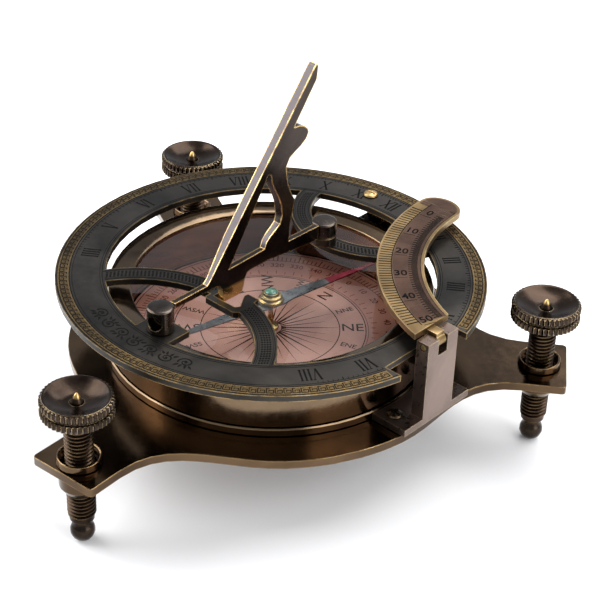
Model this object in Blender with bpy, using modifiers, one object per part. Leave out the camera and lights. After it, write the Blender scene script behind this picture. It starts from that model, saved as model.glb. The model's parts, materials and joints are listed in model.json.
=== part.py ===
"""Sundial compass: a levelled tripod plate, a glazed compass drum, a hinged hour ring with a
folding gnomon, and a latitude arc folded flat over the ring.

Frame: Z is the axis of drum and hour ring, +Y points to the ring's hinge, +X points to the latitude
arc's bracket. Heights in this file are measured from the ground under the ball feet; the finished
assembly hangs on one empty that puts the world origin at the centre of the plate's underside.
Sizes are in millimetres here and become metres as the meshes are made.
"""
import bmesh
import bpy
from math import acos, asin, atan2, cos, degrees, pi, radians, sin, sqrt
from mathutils import Matrix, Vector

MM = 0.001
OBJECT_NAME = "garden_sundial"
GAP = 0.3                      # clearance between neighbouring pieces

# Tripod plate
PLATE_TOP = 28.0
PLATE_THICK = 2.8
PLATE_MID_R = 62.0             # round middle
FOOT_R = {"front": 82.4, "right": 83.0, "back": 81.5}      # radius of each levelling screw
FOOT_ANGLE = {"front": -86.4, "right": 35.5, "back": 152.8}
ARM_END_R = {"front": 89.6, "right": 91.4, "back": 89.3}
ARM_HALF = 11.4

# Levelling screws
BALL_R = 3.65
STUD_CREST_R = 4.15
STUD_ROOT_R = 3.5
SHANK_R = 3.75
STUD_BOTTOM = 7.6
THREAD_PITCH = 1.25
THREAD_BOTTOM = 8.4
THREAD_TURNS = 28
KNOB_R = 10.45
KNOB_BOTTOM = 44.6
KNOB_TOP = 50.6
KNURL_COUNT = 26
KNURL_DEPTH = 0.65
CONE_TIP = 51.4
BUSH_BORE_R = 4.5
BUSH_BOTTOM = 18.8
BUSH_SHANK_R = 5.6
BUSH_RIM_TOP = 30.4

# Compass drum
DRUM_BASE_R = 50.9
DRUM_BASE_TOP = 30.7
DRUM_R = 50.2
DRUM_BORE_R = 45.0
DRUM_TOP = 45.6
BEZEL_R = 49.4
BEZEL_TOP = 48.4
BEZEL_BORE_R = 42.4
GLASS_R = 46.6
GLASS_THICK = 1.2
CARD_R = 44.6
CARD_THICK = 0.6
NEEDLE_Z = 40.8
NEEDLE_HALF = 40.5
NEEDLE_BEARING = 79.2          # degrees from +X towards +Y

# Hour ring
RING_TOP = 52.7
RING_THICK = 2.0
RING_R = 65.0
RING_BORE_R = 50.0
NOTCH_X = 57.6                 # flat bottom of the notch for the arc bracket
NOTCH_HALF_Y = 14.7
TAB_HALF = 6.6
TAB_TOP_Y = -41.0
PAD_WEST_X = -3.4              # raised middle of the southern crescent, slotted for the gnomon's heel
PAD_EAST_X = 9.2
PAD_NORTH_Y = -15.0
PAD_SOUTH_Y = -25.2
SLOT_WEST_X = -1.9
SLOT_EAST_X = 4.6
SLOT_SOUTH_Y = -22.8
SOUTH_CRESCENT = {"centre_y": -57.0, "inner": 34.5, "outer": 41.0}
NORTH_CRESCENT = {"centre_y": 49.6, "inner": 21.6, "outer": 27.9}

# Gnomon and its two posts
POST_R = 3.95
POST_TOP = 60.5
SOUTH_POST_Y = -46.0
NORTH_POST_Y = 23.3
PIVOT_Z = 58.5
PIVOT_R = 0.85
POST_HOLE_R = 1.1
SIDE_HOLE_R = 2.25             # blind hole in the southern post's outer side
SIDE_HOLE_Z = 56.4
SIDE_HOLE_BEARING = -73.0
GROOVE_LOW = 55.6              # groove around the northern post
GROOVE_HIGH = 56.2
GROOVE_DEPTH = 0.45
GNOMON_THICK = 3.0
BAR_WEST_X = -0.4              # west side of the thinner bar
GNOMON_TIP = (15.4, 116.3)

# Ring hinge
RING_HINGE_Y = 59.4
RING_HINGE_Z = 47.2
KNUCKLE_R = 1.7
RING_PIN_R = 0.8
HINGE_HALF = 11.4
HINGE_SCREW_X = 9.0
HINGE_SCREW_Y = 56.2

# Arc bracket and latitude arc
BRACKET_Y = 4.6
BRACKET_OUTER_X = 62.6
BRACKET_FOOT_THICK = 2.2
BRACKET_FOOT_HALF_Y = 14.6
EAR_INNER_X = 58.2
EAR_TOP = 56.0
EAR_HALF_Y = 6.65
SLOT_HALF_Y = 1.95
SLOT_BOTTOM = 50.6
ARC_HINGE_X = 60.4
ARC_HINGE_Z = 54.3
ARC_CENTRE = (76.2, 60.7)
ARC_OUTER_R = 66.0
ARC_INNER_R = 51.8
ARC_BOTTOM = 56.2
ARC_THICK = 1.9
ARC_END_X = 57.9
ARC_TIP_RISE = 5.9
ARC_TIP_Y = 58.4


# --------------------------------------------------------------------------- scene and helpers

for old in list(bpy.data.objects):
    bpy.data.objects.remove(old, do_unlink=True)

scene = bpy.context.scene
parts = bpy.data.collections.new(OBJECT_NAME)
cutters = bpy.data.collections.new("cutters")
scene.collection.children.link(parts)
scene.collection.children.link(cutters)


def material(name, colour, roughness, metallic, alpha=1.0):
    """One Principled material."""
    mat = bpy.data.materials.new(name)
    mat.use_nodes = True
    shader = mat.node_tree.nodes["Principled BSDF"]
    shader.inputs["Base Color"].default_value = (*colour, 1.0)
    shader.inputs["Roughness"].default_value = roughness
    shader.inputs["Metallic"].default_value = metallic
    shader.inputs["Alpha"].default_value = alpha
    mat.diffuse_color = (*colour, alpha)
    return mat


BRONZE = ((0.16, 0.12, 0.09), 0.35, 1.0)
DARK_BRONZE = ((0.10, 0.075, 0.06), 0.4, 1.0)
SLATE = ((0.10, 0.11, 0.11), 0.5, 0.9)
BRASS = ((0.62, 0.45, 0.20), 0.3, 1.0)
COPPER = ((0.72, 0.45, 0.38), 0.4, 0.9)
STEEL = ((0.35, 0.37, 0.42), 0.3, 1.0)
GLASS = ((0.9, 0.95, 0.95), 0.02, 0.0, 0.25)
JEWEL = ((0.03, 0.30, 0.20), 0.1, 0.0)


def place(mesh, name, look, parent=None, location=(0, 0, 0)):
    """Link a mesh as a part, with its own material and smooth shading."""
    obj = bpy.data.objects.new(name, mesh)
    parts.objects.link(obj)
    mesh.materials.clear()
    mesh.materials.append(material(name, *look))
    mesh.shade_smooth()
    mesh.set_sharp_from_angle(angle=radians(30))
    obj.parent = parent
    obj.location = Vector(location) * MM
    return obj


def pivot(name, location):
    """An empty on a joint's axis."""
    empty = bpy.data.objects.new(name, None)
    empty.empty_display_size = 0.005
    empty.location = Vector(location) * MM
    parts.objects.link(empty)
    return empty


def baked(obj):
    """The evaluated mesh of an object as a new mesh, its seams welded; the object goes away."""
    bpy.context.view_layer.update()
    graph = bpy.context.evaluated_depsgraph_get()
    mesh = bpy.data.meshes.new_from_object(obj.evaluated_get(graph))
    mesh.transform(obj.matrix_world)
    bpy.data.objects.remove(obj, do_unlink=True)
    work = bmesh.new()
    work.from_mesh(mesh)
    bmesh.ops.remove_doubles(work, verts=work.verts, dist=1e-6)
    bmesh.ops.recalc_face_normals(work, faces=work.faces)
    work.to_mesh(mesh)
    work.free()
    return mesh


def turned(profile, steps, centre=(0, 0), axis="Z"):
    """A closed profile of (radius, height) pairs turned about its axis, as a mesh."""
    work = bmesh.new()
    verts = [work.verts.new((r * MM, 0, z * MM)) for r, z in profile]
    closed = min(r for r, _ in profile) > 0
    for a, b in zip(verts, verts[1:]):
        work.edges.new((a, b))
    if closed:
        work.edges.new((verts[-1], verts[0]))
    mesh = bpy.data.meshes.new("profile")
    work.to_mesh(mesh)
    work.free()
    obj = bpy.data.objects.new("profile", mesh)
    scene.collection.objects.link(obj)
    spin = obj.modifiers.new("Turn", "SCREW")
    spin.steps = steps
    spin.render_steps = steps
    spin.use_merge_vertices = True
    spin.merge_threshold = 1e-6
    spin.use_normal_calculate = True
    if axis == "X":
        obj.rotation_euler = (0, pi / 2, 0)
    if axis == "Y":
        obj.rotation_euler = (pi / 2, 0, 0)
    obj.location = (centre[0] * MM, centre[1] * MM, (centre[2] * MM if len(centre) > 2 else 0))
    return baked(obj)


def prism(loops, low, high, axis="Z"):
    """Flat outline with holes, extruded between two heights along Z, or along X for (y, z) loops."""
    curve = bpy.data.curves.new("outline", "CURVE")
    curve.dimensions = "2D"
    curve.fill_mode = "BOTH"
    curve.extrude = (high - low) / 2 * MM
    for loop in loops:
        spline = curve.splines.new("POLY")
        spline.points.add(len(loop) - 1)
        for point, (x, y) in zip(spline.points, loop):
            point.co = (x * MM, y * MM, 0, 1)
        spline.use_cyclic_u = True
    obj = bpy.data.objects.new("outline", curve)
    scene.collection.objects.link(obj)
    middle = (low + high) / 2 * MM
    if axis == "X":
        # The outline's own axes (x, y, z) become world (y, z, x).
        obj.matrix_world = Matrix(((0, 0, 1, middle), (1, 0, 0, 0), (0, 1, 0, 0), (0, 0, 0, 1)))
    else:
        obj.location = (0, 0, middle)
    return baked(obj)


def box(x0, x1, y0, y1, z0, z1):
    """A box between two corners, as a mesh."""
    work = bmesh.new()
    bmesh.ops.create_cube(work, size=1.0)
    size = Vector((x1 - x0, y1 - y0, z1 - z0)) * MM
    middle = Vector((x0 + x1, y0 + y1, z0 + z1)) * MM / 2
    bmesh.ops.scale(work, vec=size, verts=work.verts)
    bmesh.ops.translate(work, vec=middle, verts=work.verts)
    mesh = bpy.data.meshes.new("box")
    work.to_mesh(mesh)
    work.free()
    return mesh


def rod(centre, radius, length, axis, segments=20):
    """A round bar centred on a point and lying along X, Y or Z, as a mesh."""
    turn = {"X": Matrix.Rotation(pi / 2, 4, "Y"), "Y": Matrix.Rotation(pi / 2, 4, "X")}
    work = bmesh.new()
    bmesh.ops.create_cone(work, cap_ends=True, segments=segments, radius1=radius * MM,
                          radius2=radius * MM, depth=length * MM)
    mesh = bpy.data.meshes.new("rod")
    work.to_mesh(mesh)
    work.free()
    mesh.transform(Matrix.Translation(Vector(centre) * MM) @ turn.get(axis, Matrix()))
    return mesh


def combine(mesh, others, operation):
    """Boolean a mesh with others one after another and return the result as a mesh."""
    obj = bpy.data.objects.new("blank", mesh)
    scene.collection.objects.link(obj)
    tools = []
    for number, other in enumerate(others):
        tool = bpy.data.objects.new("cutter", other)
        cutters.objects.link(tool)
        tool.hide_render = True
        tool.display_type = "WIRE"
        cut = obj.modifiers.new("Cut %d" % number, "BOOLEAN")
        cut.operation = operation
        cut.solver = "EXACT"
        cut.object = tool
        tools.append(tool)
    result = baked(obj)
    for tool in tools:
        bpy.data.objects.remove(tool, do_unlink=True)
    return result


def arc_points(centre, radius, start, end, count):
    """Points on a circle from one angle to another, in degrees, both ends included."""
    angles = [radians(start + (end - start) * i / (count - 1)) for i in range(count)]
    return [(centre[0] + radius * cos(a), centre[1] + radius * sin(a)) for a in angles]


def circle(centre, radius, count):
    """A closed loop of points on a circle."""
    return arc_points(centre, radius, 0, 360, count + 1)[:-1]


def bezier(p0, p1, p2, p3, count):
    """Points along a cubic curve, both ends included."""
    points = []
    for i in range(count):
        t = i / (count - 1)
        weights = ((1 - t) ** 3, 3 * (1 - t) ** 2 * t, 3 * (1 - t) * t * t, t ** 3)
        points.append(tuple(sum(w * p[k] for w, p in zip(weights, (p0, p1, p2, p3)))
                            for k in range(2)))
    return points


def turned_about_z(point, degrees_):
    """A plan point turned about the origin."""
    a = radians(degrees_)
    return (point[0] * cos(a) - point[1] * sin(a), point[0] * sin(a) + point[1] * cos(a))


def foot_xy(name):
    """Plan position of one levelling screw."""
    return turned_about_z((FOOT_R[name], 0), FOOT_ANGLE[name])


# --------------------------------------------------------------------------- tripod plate

def arm_side(sign, end_r):
    """One side of an arm that lies along +X, from its end to the middle of the round side."""
    join = (78.0, sign * ARM_HALF)
    waist = turned_about_z((PLATE_MID_R, 0), sign * 44.0)
    tangent = turned_about_z((0, 1), sign * 44.0)
    side = bezier(join, (join[0] - 20.0, join[1]),
                  (waist[0] - sign * 17.0 * tangent[0], waist[1] - sign * 17.0 * tangent[1]),
                  waist, 11)
    middle = arc_points((0, 0), PLATE_MID_R, sign * 48.0, sign * 57.0, 4)
    corner = [(end_r, sign * (ARM_HALF - 1.0)), (end_r - 0.4, sign * (ARM_HALF - 0.2)),
              (end_r - 1.2, sign * (ARM_HALF + 0.1))]
    return corner + side + middle


def make_base_plate():
    """Three square-ended arms growing out of a round middle, bored for the bushes."""
    outline = []
    for name in ("front", "right", "back"):
        near = reversed(arm_side(-1, ARM_END_R[name]))
        far = arm_side(1, ARM_END_R[name])
        outline += [turned_about_z(p, FOOT_ANGLE[name]) for p in [*near, *far]]
    holes = [circle(foot_xy(name), BUSH_SHANK_R + GAP, 24) for name in FOOT_ANGLE]
    mesh = prism([outline] + holes, PLATE_TOP - PLATE_THICK, PLATE_TOP)
    place(mesh, "base_plate", BRONZE)


# --------------------------------------------------------------------------- levelling screws

def make_bush(name):
    """Bush through an arm: tapered barrel below, thin cupped rim above."""
    plate_bottom = PLATE_TOP - PLATE_THICK
    profile = [(BUSH_BORE_R, BUSH_RIM_TOP - 2.2), (5.7, BUSH_RIM_TOP - 0.25), (6.0, BUSH_RIM_TOP),
               (6.35, BUSH_RIM_TOP - 0.1), (6.45, BUSH_RIM_TOP - 1.0), (6.6, BUSH_RIM_TOP - 1.8),
               (6.6, PLATE_TOP + GAP), (BUSH_SHANK_R, PLATE_TOP + GAP),
               (BUSH_SHANK_R, plate_bottom - GAP), (6.3, plate_bottom - GAP),
               (6.1, BUSH_BOTTOM + 1.8), (5.0, BUSH_BOTTOM), (BUSH_BORE_R, BUSH_BOTTOM)]
    place(turned(profile, 24), name + "_bush", BRONZE, location=(*foot_xy(name), 0))


def make_ball_foot(name, travel):
    """Ball with a short neck under the stud."""
    neck_r = 2.4
    start = acos(neck_r / BALL_R)
    profile = [(0, STUD_BOTTOM - GAP), (neck_r, STUD_BOTTOM - GAP)]
    rings = 7
    for i in range(rings):
        a = start + (-pi / 2 - start) * i / rings
        profile.append((BALL_R * cos(a), BALL_R + BALL_R * sin(a)))
    profile.append((0, 0))
    place(turned(profile, 16), name + "_ball_foot", DARK_BRONZE, parent=travel)


def thread_mesh():
    """A right-hand V thread as one closed body: a one-pitch profile wound upwards."""
    work = bmesh.new()
    rows = ((STUD_ROOT_R, 1.0), (STUD_CREST_R, 0.5), (STUD_ROOT_R, 0.0))
    verts = [work.verts.new((r * MM, 0, (THREAD_BOTTOM + k * THREAD_PITCH) * MM)) for r, k in rows]
    for a, b in zip(verts, verts[1:]):
        work.edges.new((a, b))
    mesh = bpy.data.meshes.new("thread")
    work.to_mesh(mesh)
    work.free()
    obj = bpy.data.objects.new("thread", mesh)
    scene.collection.objects.link(obj)
    wind = obj.modifiers.new("Wind", "SCREW")
    wind.steps = 8
    wind.render_steps = 8
    wind.iterations = THREAD_TURNS
    wind.screw_offset = THREAD_PITCH * MM
    wind.use_merge_vertices = True
    wind.merge_threshold = 1e-6
    mesh = baked(obj)
    work = bmesh.new()
    work.from_mesh(mesh)
    rim = [e for e in work.edges if e.is_boundary]
    caps = bmesh.ops.holes_fill(work, edges=rim, sides=0)["faces"]
    bmesh.ops.poke(work, faces=caps)
    bmesh.ops.recalc_face_normals(work, faces=work.faces)
    work.to_mesh(mesh)
    work.free()
    return mesh


def stud_mesh():
    """Threaded stud with a plain collar below, and a shank ending in a cone above."""
    collar = turned([(0, THREAD_BOTTOM + 2.0), (STUD_ROOT_R + 0.1, THREAD_BOTTOM + 2.0),
                     (STUD_ROOT_R + 0.1, STUD_BOTTOM + 0.5), (2.6, STUD_BOTTOM),
                     (0, STUD_BOTTOM)], 20)
    shoulder = KNOB_BOTTOM - GAP
    shank = turned([(0, CONE_TIP), (0.3, CONE_TIP - 0.15), (1.8, KNOB_TOP - 2.0),
                    (1.8, shoulder), (SHANK_R, shoulder), (SHANK_R, shoulder - 2.2),
                    (0, shoulder - 2.2)], 20)
    return combine(thread_mesh(), [collar, shank], "UNION")


def make_knob(name, turn):
    """Two knurled flanges on a waisted hub, with a shallow dish on top."""
    bore = 2.1
    profile = [(bore, KNOB_TOP - 2.2), (3.4, KNOB_TOP - 2.1), (7.0, KNOB_TOP - 1.2),
               (9.2, KNOB_TOP - 0.25), (9.6, KNOB_TOP), (KNOB_R, KNOB_TOP - 0.5),
               (KNOB_R, KNOB_TOP - 2.5), (9.3, KNOB_TOP - 2.8), (9.3, KNOB_BOTTOM + 2.7),
               (KNOB_R, KNOB_BOTTOM + 2.4), (KNOB_R, KNOB_BOTTOM + 0.4),
               (KNOB_R - 0.7, KNOB_BOTTOM), (bore, KNOB_BOTTOM)]
    mesh = turned(profile, 2 * KNURL_COUNT)
    for vertex in mesh.vertices:
        radius = vertex.co.xy.length
        column = round(atan2(vertex.co.y, vertex.co.x) * KNURL_COUNT / pi)
        if radius > (KNOB_R - 0.2) * MM and column % 2:
            vertex.co.xy *= (KNOB_R - KNURL_DEPTH) / KNOB_R
    place(mesh, name + "_knob", BRONZE, parent=turn)


def make_levelling_screws():
    """Bush, ball foot, stud and knob of each arm, on a travel empty and a turning empty."""
    stud = stud_mesh()
    for name in FOOT_ANGLE:
        make_bush(name)
        travel = pivot(name + "_travel_axis", (*foot_xy(name), 0))
        turn = pivot(name + "_turn_axis", (0, 0, 0))
        turn.parent = travel
        make_ball_foot(name, travel)
        place(stud.copy(), name + "_stud", DARK_BRONZE, parent=turn)
        make_knob(name, turn)


# --------------------------------------------------------------------------- compass drum

def make_drum():
    """Foot disc, tubular wall, bezel and glass."""
    base = [(0, DRUM_BASE_TOP), (DRUM_BASE_R - 0.4, DRUM_BASE_TOP),
            (DRUM_BASE_R, DRUM_BASE_TOP - 0.4), (DRUM_BASE_R, PLATE_TOP + GAP),
            (0, PLATE_TOP + GAP)]
    place(turned(base, 60), "drum_base", BRONZE)
    wall = [(DRUM_BORE_R, DRUM_TOP), (DRUM_R - 0.3, DRUM_TOP), (DRUM_R, DRUM_TOP - 0.3),
            (DRUM_R, DRUM_BASE_TOP + GAP), (DRUM_BORE_R, DRUM_BASE_TOP + GAP)]
    place(turned(wall, 60), "drum_wall", BRONZE)
    glass_bottom = DRUM_TOP + GAP
    glass_top = glass_bottom + GLASS_THICK
    glass = [(0, glass_top), (GLASS_R, glass_top), (GLASS_R, glass_bottom), (0, glass_bottom)]
    place(turned(glass, 48), "cover_glass", GLASS)
    bezel = [(BEZEL_BORE_R, BEZEL_TOP - 0.6), (BEZEL_BORE_R + 0.6, BEZEL_TOP - 0.3),
             (BEZEL_R - 1.4, BEZEL_TOP), (BEZEL_R - 0.3, BEZEL_TOP), (BEZEL_R, BEZEL_TOP - 0.4),
             (BEZEL_R, glass_bottom), (GLASS_R + GAP, glass_bottom), (GLASS_R + GAP, glass_top + GAP),
             (BEZEL_BORE_R, glass_top + GAP)]
    place(turned(bezel, 60), "bezel_ring", DARK_BRONZE)


def make_dial_and_needle():
    """Copper card, pivot pin, and the needle with its stepped cap and jewel."""
    card_bottom = DRUM_BASE_TOP + GAP
    card_top = card_bottom + CARD_THICK
    card = [(0, card_top), (CARD_R, card_top), (CARD_R, card_bottom), (0, card_bottom)]
    place(turned(card, 48), "dial_card", COPPER)
    pin_bottom = card_top + GAP
    pin = [(0, NEEDLE_Z + 0.9), (0.35, NEEDLE_Z + 0.2), (0.8, NEEDLE_Z - 3.0),
           (1.0, pin_bottom + 1.6), (2.6, pin_bottom + 0.8), (2.6, pin_bottom), (0, pin_bottom)]
    place(turned(pin, 20), "pivot_pin", BRASS)

    spindle = pivot("needle_axis", (0, 0, 0))
    tip_half, widest, waist = 0.35, 2.3, 3.2
    blade = [(NEEDLE_HALF, -tip_half), (NEEDLE_HALF, tip_half), (7.0, widest), (waist, waist)]
    left = [(-x, y) for x, y in reversed(blade[1:])]
    lower = [(x, -y) for x, y in reversed(left)] + [(x, -y) for x, y in reversed(blade[1:])]
    outline = [turned_about_z(p, NEEDLE_BEARING) for p in blade[1:] + left + lower]
    needle = prism([outline, circle((0, 0), 1.5, 16)], NEEDLE_Z, NEEDLE_Z + 0.5)
    place(needle, "compass_needle", STEEL, parent=spindle)
    cap_bottom = NEEDLE_Z + 0.5 + GAP
    cap = [(0, cap_bottom + 3.1), (2.3, cap_bottom + 3.1), (2.5, cap_bottom + 2.2),
           (3.3, cap_bottom + 2.0), (3.3, cap_bottom + 1.3), (3.0, cap_bottom + 1.1),
           (3.9, cap_bottom + 0.8), (3.9, cap_bottom), (1.2, cap_bottom), (0.6, cap_bottom + 1.0),
           (0, cap_bottom + 1.2)]
    place(turned(cap, 24), "needle_cap", BRASS, parent=spindle)
    jewel_bottom = cap_bottom + 3.1 + 0.1
    jewel = [(0, jewel_bottom + 0.7), (1.0, jewel_bottom + 0.6), (1.9, jewel_bottom + 0.1),
             (1.9, jewel_bottom), (0, jewel_bottom)]
    place(turned(jewel, 16), "cap_jewel", JEWEL, parent=spindle)


# --------------------------------------------------------------------------- hour ring

def crescent_angle(crescent, radius):
    """Angle from the Y axis, at the ring's centre, where a crescent edge meets the ring's bore."""
    c = abs(crescent["centre_y"])
    y = (RING_BORE_R ** 2 + c ** 2 - radius ** 2) / (2 * c)
    return degrees(acos(y / RING_BORE_R))


def crescent_edge(crescent, radius, count):
    """Edge of a crescent from -X to +X, between its two meetings with the ring's bore."""
    cy = crescent["centre_y"]
    side = 1 if cy > 0 else -1
    bore_angle = radians(crescent_angle(crescent, radius))
    half = degrees(atan2(RING_BORE_R * sin(bore_angle), abs(cy) - RING_BORE_R * cos(bore_angle)))
    return arc_points((0, cy), radius, -side * (90 + half), -side * (90 - half), count)


def lens_opening(crescent, count):
    """Opening between a crescent and the ring's bore."""
    side = 1 if crescent["centre_y"] > 0 else -1
    edge = crescent_edge(crescent, crescent["inner"], count)
    swing = crescent_angle(crescent, crescent["inner"])
    bore = arc_points((0, 0), RING_BORE_R, side * (90 - swing), side * (90 + swing), count)
    return edge + bore[1:-1]


def middle_opening():
    """Opening between the two crescents, bounded by the ring's bore left and right."""
    north = crescent_edge(NORTH_CRESCENT, NORTH_CRESCENT["outer"], 21)
    south = crescent_edge(SOUTH_CRESCENT, SOUTH_CRESCENT["outer"], 21)
    north_swing = crescent_angle(NORTH_CRESCENT, NORTH_CRESCENT["outer"])
    south_swing = crescent_angle(SOUTH_CRESCENT, SOUTH_CRESCENT["outer"])
    right = arc_points((0, 0), RING_BORE_R, 90 - north_swing, -90 + south_swing, 15)
    left = arc_points((0, 0), RING_BORE_R, 270 - south_swing, 90 + north_swing, 15)
    east = [p for p in reversed(south) if p[0] > PAD_EAST_X + 0.3]
    west = [p for p in reversed(south) if p[0] < PAD_WEST_X - 0.3]
    heel_slot = [(SLOT_EAST_X, PAD_NORTH_Y), (SLOT_EAST_X, -16.6), (7.6, -21.4),
                 (6.8, SLOT_SOUTH_Y), (SLOT_WEST_X, SLOT_SOUTH_Y), (SLOT_WEST_X, PAD_NORTH_Y)]
    pad = [(PAD_EAST_X, -17.05), (PAD_EAST_X - 0.3, PAD_NORTH_Y), *heel_slot,
           (PAD_WEST_X, PAD_NORTH_Y), (PAD_WEST_X, -16.14)]
    return north + right[1:-1] + east + pad + west + left[1:-1]


def south_opening():
    """Opening south of the southern crescent, with the square tab under the post left standing."""
    points = lens_opening(SOUTH_CRESCENT, 21)
    foot_y = -sqrt(RING_BORE_R ** 2 - TAB_HALF ** 2)
    pad = [(PAD_WEST_X, -22.67), (PAD_WEST_X, PAD_SOUTH_Y + 0.6), (PAD_WEST_X + 0.6, PAD_SOUTH_Y),
           (PAD_EAST_X - 1.0, PAD_SOUTH_Y), (PAD_EAST_X, PAD_SOUTH_Y + 0.8),
           (PAD_EAST_X + 0.4, -23.9)]
    west = [p for p in points[:21] if p[0] < PAD_WEST_X - 0.3]
    east = [p for p in points[:21] if p[0] > PAD_EAST_X + 0.7]
    bore = [p for p in points[21:] if abs(p[0]) > TAB_HALF + 0.8]
    right = [p for p in bore if p[0] > 0]
    left = [p for p in bore if p[0] < 0]
    tab = [(TAB_HALF, foot_y), (TAB_HALF, TAB_TOP_Y), (-TAB_HALF, TAB_TOP_Y), (-TAB_HALF, foot_y)]
    return west + pad + east + right + tab + left


def ring_outline():
    """Outer edge of the ring with the notch for the arc bracket."""
    start = degrees(acos(sqrt(RING_R ** 2 - NOTCH_HALF_Y ** 2) / RING_R))
    edge = arc_points((0, 0), RING_R, start, 360 - start, 80)
    return edge + [(NOTCH_X, -NOTCH_HALF_Y), (NOTCH_X, NOTCH_HALF_Y)]


def make_hour_ring(tilt):
    """Flat ring with two crescents, the post tab, and holes for posts and hinge screws."""
    pegs = [circle((0, y), 2.1, 14) for y in (SOUTH_POST_Y, NORTH_POST_Y + 1.6)]
    screws = [circle((s * HINGE_SCREW_X, HINGE_SCREW_Y), 1.5, 14) for s in (-1, 1)]
    loops = [ring_outline(), middle_opening(), lens_opening(NORTH_CRESCENT, 21), south_opening()]
    mesh = prism(loops + pegs + screws, RING_TOP - RING_THICK, RING_TOP)
    put_on(mesh, "hour_ring", SLATE, tilt)


def put_on(mesh, name, look, empty):
    """Place a mesh that is in world coordinates under an empty."""
    bpy.context.view_layer.update()
    mesh.transform(Matrix.Translation(-empty.matrix_world.translation))
    return place(mesh, name, look, parent=empty)


def side_bore(y):
    """Cutter for the southern post's blind hole, from outside to the post's axis."""
    bore = rod((POST_R, 0, SIDE_HOLE_Z), SIDE_HOLE_R, 2 * POST_R, "X", 20)
    turn = Matrix.Rotation(radians(SIDE_HOLE_BEARING), 4, "Z")
    bore.transform(Matrix.Translation((0, y * MM, 0)) @ turn)
    return bore


def make_post(name, y, peg_y, tilt):
    """Flat-topped cylinder with a blind hole for the trunnion and a peg into the ring."""
    bottom = RING_TOP + GAP
    southern = y < 0
    profile = [(0, POST_TOP), (POST_R - 0.7, POST_TOP), (POST_R - 0.3, POST_TOP - 0.1),
               (POST_R, POST_TOP - 0.4)]
    if not southern:
        profile += [(POST_R, GROOVE_HIGH), (POST_R - GROOVE_DEPTH, GROOVE_HIGH),
                    (POST_R - GROOVE_DEPTH, GROOVE_LOW), (POST_R, GROOVE_LOW)]
    profile += [(POST_R, bottom), (0, bottom)]
    peg = rod((0, peg_y, bottom - 0.6), 1.8, 2.2, "Z", 14)
    whole = combine(turned(profile, 28, (0, y)), [peg], "UNION")
    inwards = POST_R if southern else -POST_R
    bores = [rod((0, y + inwards, PIVOT_Z), POST_HOLE_R, 2 * POST_R, "Y", 20)]
    if southern:
        bores.append(side_bore(y))
    put_on(combine(whole, bores, "DIFFERENCE"), name, DARK_BRONZE, tilt)


# --------------------------------------------------------------------------- gnomon

def gnomon_outline():
    """Outer outline of the gnomon in (y, z), anticlockwise from the bar's southern end."""
    south = SOUTH_POST_Y + POST_R + GAP
    north = NORTH_POST_Y - POST_R - GAP
    tip_y, tip_z = GNOMON_TIP
    heel = [(-25.2, 58.2), (-23.5, 57.65), (-22.5, 56.2), (-22.3, 51.9), (-21.9, 51.6),
            (-16.2, 51.5), (-14.3, 52.0), (-13.7, 53.6), (-13.1, 56.2), (-12.2, 57.6), (-11.0, 58.0)]
    belly = bezier((-2.5, 58.05), (1.9, 57.5), (13.0, 56.3), (north, 56.0), 5)
    scroll = bezier((5.6, 60.9), (5.6, 66.4), (6.0, 68.6), (7.2, 71.5), 4)
    scroll += bezier((7.6, 74.7), (5.4, 78.0), (3.8, 82.0), (3.6, 87.0), 5)
    hook = bezier((5.0, 89.5), (7.6, 91.2), (12.4, 92.2), (12.9, 95.2), 5)
    hook += bezier((12.4, 96.6), (10.9, 98.4), (8.9, 99.0), (6.6, 98.9), 4)
    blade = [(7.2, 100.0), (10.9, 105.0), (tip_y + 0.1, tip_z - 5.0), (tip_y + 0.6, tip_z - 0.8),
             (tip_y, tip_z), (tip_y - 0.8, tip_z - 0.6)]
    back = [(-27.6, 61.2), (-28.8, 60.1), (south, 60.0)]
    return [(south, 58.2)] + heel + belly + [(north, 60.7)] + scroll + hook + blade + back


def gnomon_opening():
    """Three-sided opening between style, bar and scroll, in (y, z)."""
    scroll = bezier((-4.9, 62.5), (-4.2, 66.0), (-0.4, 66.6), (1.6, 68.6), 5)
    scroll += bezier((2.4, 70.8), (2.6, 76.0), (-0.8, 80.0), (-2.2, 83.4), 5)
    return [(-20.0, 62.0)] + scroll + [(-3.0, 86.8), (-3.9, 87.4)]


def bar_relief():
    """Cutter that thins the bar from the west and runs out up the style."""
    out, low, thin_top, high = -3.0, 50.0, 61.5, 72.0
    loop = [(out, low), (BAR_WEST_X, low), (BAR_WEST_X, thin_top), (-GNOMON_THICK / 2, high),
            (out, high)]
    relief = prism([loop], -30.0, 50.0)
    relief.transform(Matrix.Rotation(pi / 2, 4, "X"))
    return relief


def make_gnomon(tilt):
    """Flat gnomon with round trunnions that run in the posts."""
    half = GNOMON_THICK / 2
    fold = pivot("gnomon_fold_axis", (0, 0, 0))
    fold.parent = tilt
    fold.location = Vector((0, 0, PIVOT_Z)) * MM - tilt.location
    body = prism([gnomon_outline(), gnomon_opening()], -half, half, axis="X")
    body = combine(body, [bar_relief()], "DIFFERENCE")
    length = 4.65
    from_axis = 0.8 + length / 2
    south = rod((0, SOUTH_POST_Y + from_axis, PIVOT_Z), PIVOT_R, length, "Y", 18)
    north = rod((0, NORTH_POST_Y - from_axis, PIVOT_Z), PIVOT_R, length, "Y", 18)
    put_on(combine(body, [south, north], "UNION"), "gnomon", DARK_BRONZE, fold)


# --------------------------------------------------------------------------- ring hinge

def knuckle_loop(root_z):
    """Outline in (y, z) of a round knuckle on the ring's hinge axis, with a straight root."""
    y, z = RING_HINGE_Y, RING_HINGE_Z
    start = 0 if root_z < z else 180
    curl = arc_points((y, z), KNUCKLE_R, start, start + 180, 13)
    return curl + [(curl[-1][0], root_z), (curl[0][0], root_z)]


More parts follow.
